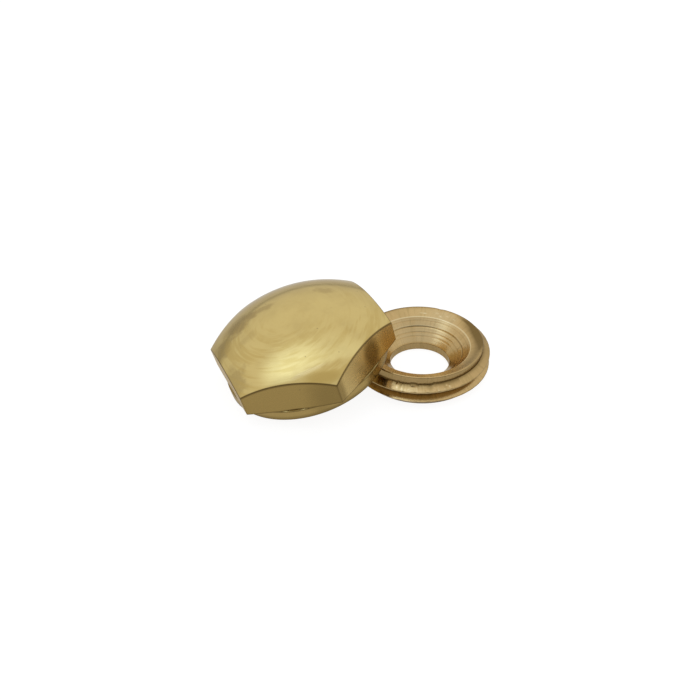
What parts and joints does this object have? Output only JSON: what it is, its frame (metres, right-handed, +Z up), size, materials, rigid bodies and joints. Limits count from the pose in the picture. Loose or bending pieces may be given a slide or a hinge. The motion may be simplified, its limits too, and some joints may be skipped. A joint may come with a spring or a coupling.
{
  "type": "hex screw cap",
  "caption": "Domed hexagonal brass screw cap, unscrewed and leaning on the rim of its threaded, countersunk cup washer.",
  "frame": {"origin": "on the ground, under the middle of the pair's bounding box", "axes": "+Z up, along the axis of the washer that lies flat; +X from the leaning cap towards the washer; +Y completes a right-handed set"},
  "size_m": [0.0318, 0.0192, 0.01],
  "materials": {
    "polished_brass": "polished, lightly tarnished, fine pits and polishing lines",
    "turned_brass": "as turned, fine concentric tool marks and small burrs"
  },
  "bodies": {
    "root": {"hex_cap": "polished_brass", "threaded_washer": "turned_brass"}
  },
  "joints": []
}
